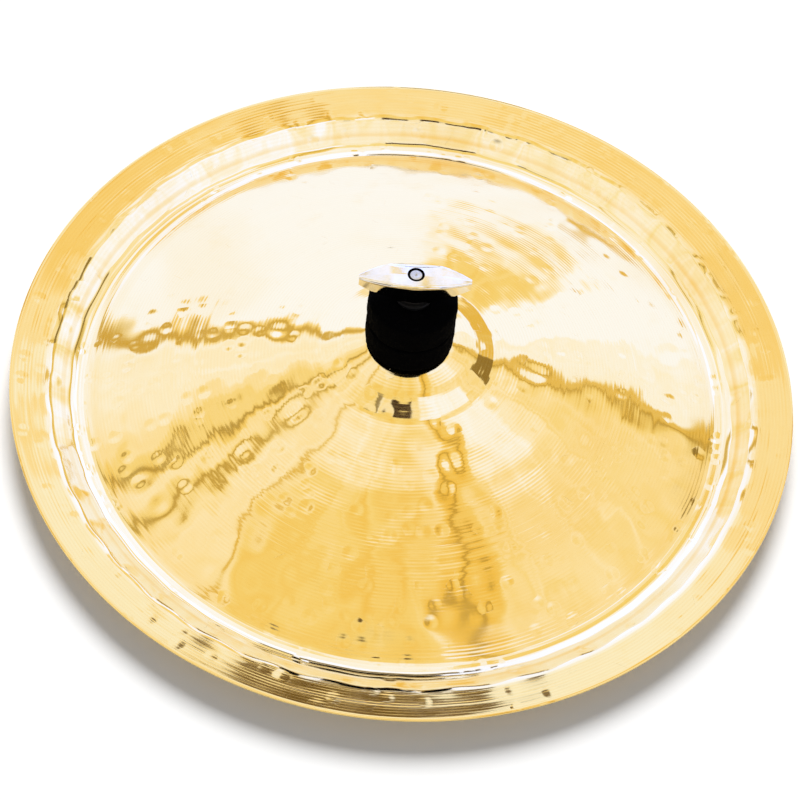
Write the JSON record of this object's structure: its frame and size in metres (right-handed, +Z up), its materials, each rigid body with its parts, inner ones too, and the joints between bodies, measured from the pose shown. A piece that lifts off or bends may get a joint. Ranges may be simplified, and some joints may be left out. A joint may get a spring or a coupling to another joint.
{
  "type": "china cymbal",
  "caption": "Hammered bronze china cymbal with an upturned rim, held on its threaded rod by felts, washers and a wing nut.",
  "frame": {"origin": "On the surface that the cymbal rests on, at the centre of its crease ring, straight below the bell hole.", "axes": "+Z is up along the cymbal's axis, out of the bell. The cymbal rocks about X. The nut's wings lie near the X axis."},
  "size_m": [0.3558, 0.3558, 0.0865],
  "materials": {
    "bronze": "cast bronze, buffed to a brilliant finish over hammer marks, lathed on the rim band",
    "black_felt": "pressed wool felt, matt and slightly fuzzy",
    "black_plastic": "extruded nylon tube, satin",
    "steel": "zinc plated steel, turned and pressed",
    "chrome": "bright chrome plate on a cast nut"
  },
  "bodies": {
    "cymbal": {"cymbal": "bronze"},
    "felts": {"upper_felt_bottom": "black_felt", "upper_felt_top": "black_felt", "lower_felt": "black_felt"},
    "rod": {"tilter_rod": "steel", "rod_sleeve": "black_plastic", "seat_washer": "steel"},
    "washer": {"nut_washer": "black_plastic"},
    "nut": {"wing_nut": "chrome"}
  },
  "joints": [
    {"name": "cymbal_spin", "type": "hinge", "parent": "cymbal", "child": "felts", "pos_m": [0, 0, 0.0407], "axis": [0, 0, 1], "continuous": true},
    {"name": "cymbal_rock", "type": "hinge", "parent": "felts", "child": "rod", "pos_m": [0, 0, 0.0407], "axis": [1, 0, 0], "range_deg": [-8, 8], "stiffness_Nm_per_rad": 1.5, "deforming": ["upper_felt_bottom", "upper_felt_top", "lower_felt"]},
    {"name": "nut_lift", "type": "slide", "parent": "rod", "child": "washer", "axis": [0, 0, 1], "range_m": [0, 0.01375]},
    {"name": "nut_spin", "type": "hinge", "parent": "washer", "child": "nut", "pos_m": [0, 0, 0.0798], "axis": [0, 0, 1], "range_deg": [0, 3961]}
  ],
  "couplings": [
    {"joint": "nut_spin", "follows": "nut_lift", "rad_per_m": 5026.5}
  ]
}
